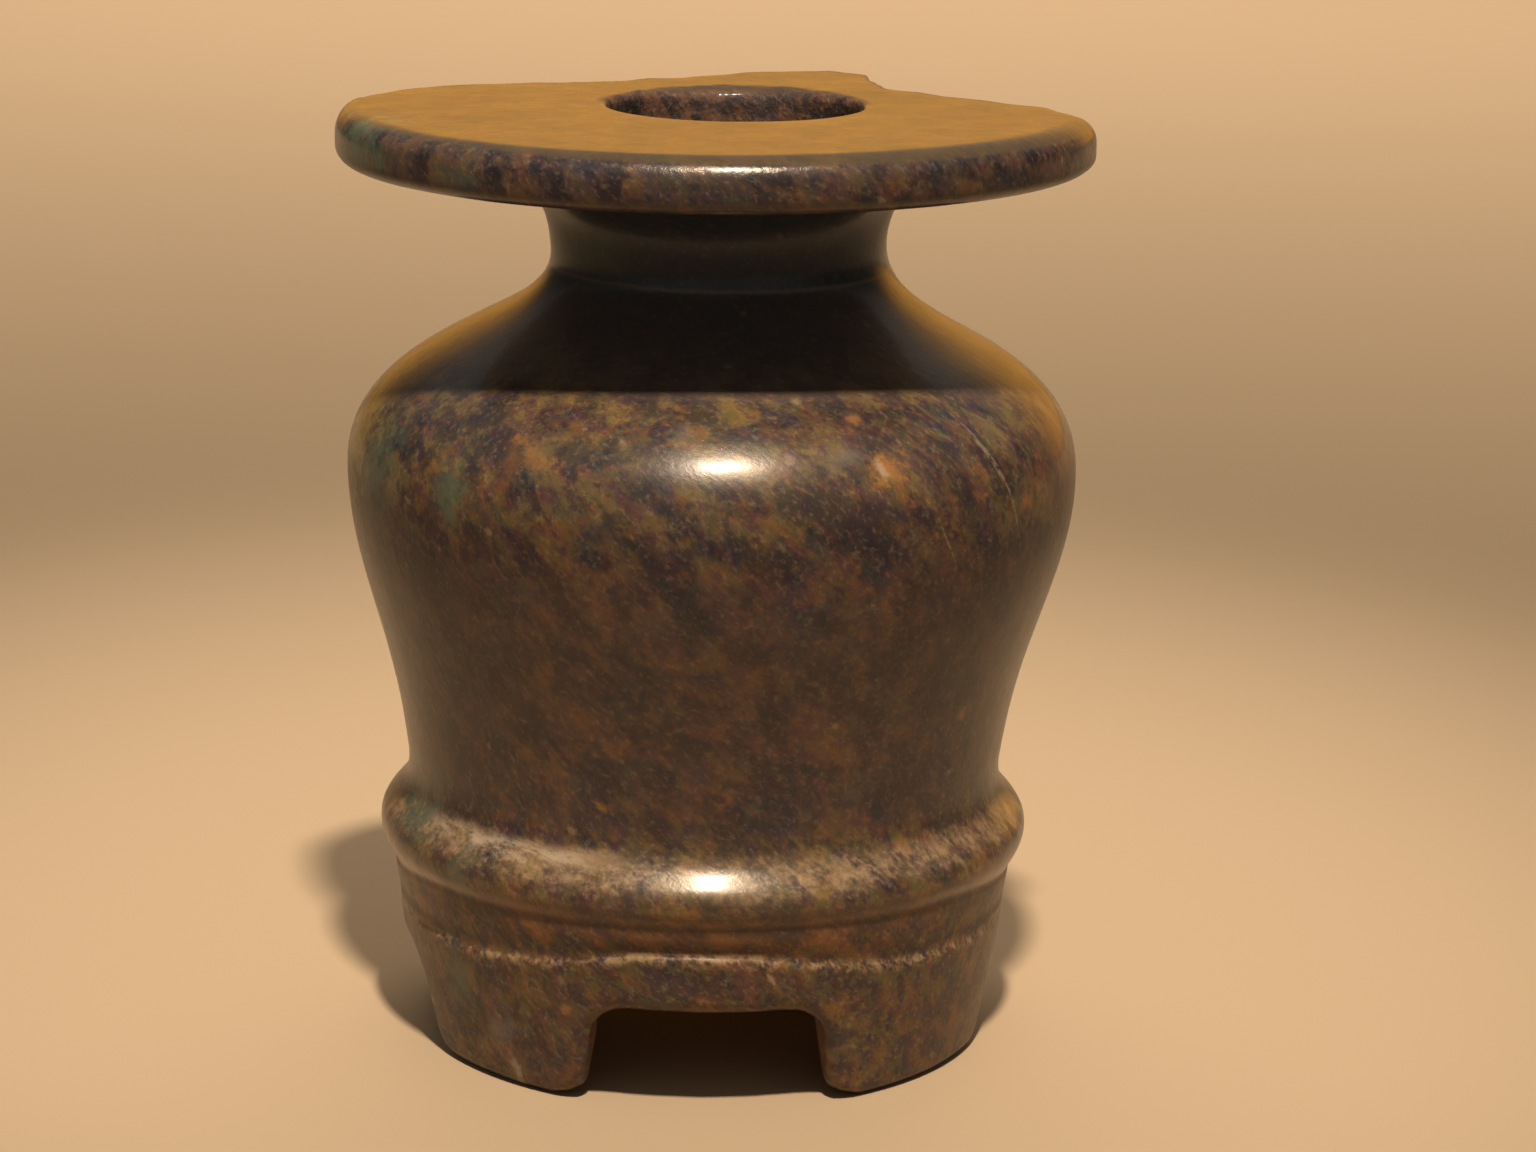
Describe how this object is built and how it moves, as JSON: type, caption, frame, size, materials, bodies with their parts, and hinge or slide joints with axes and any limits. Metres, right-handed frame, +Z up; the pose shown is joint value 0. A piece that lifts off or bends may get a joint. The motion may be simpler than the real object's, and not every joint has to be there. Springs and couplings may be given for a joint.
{
  "type": "kohl pot",
  "caption": "Small footed stone cosmetic jar with a wide flat rim broken away at the back, a waisted body, a ring round the base and four legs.",
  "frame": {"origin": "on the ground under the middle of the four legs, on the pot's turning axis", "axes": "+Z up along the turning axis, -Y towards the front, where the rim is whole, +Y towards the broken back, +X to the right seen from the front"},
  "size_m": [0.0474, 0.0469, 0.06],
  "materials": {
    "dark_stone": "polished dark mottled stone, brown, olive and blue-black grains, worn and slightly greened in places"
  },
  "bodies": {
    "root": {"kohl_pot": "dark_stone"}
  },
  "joints": []
}
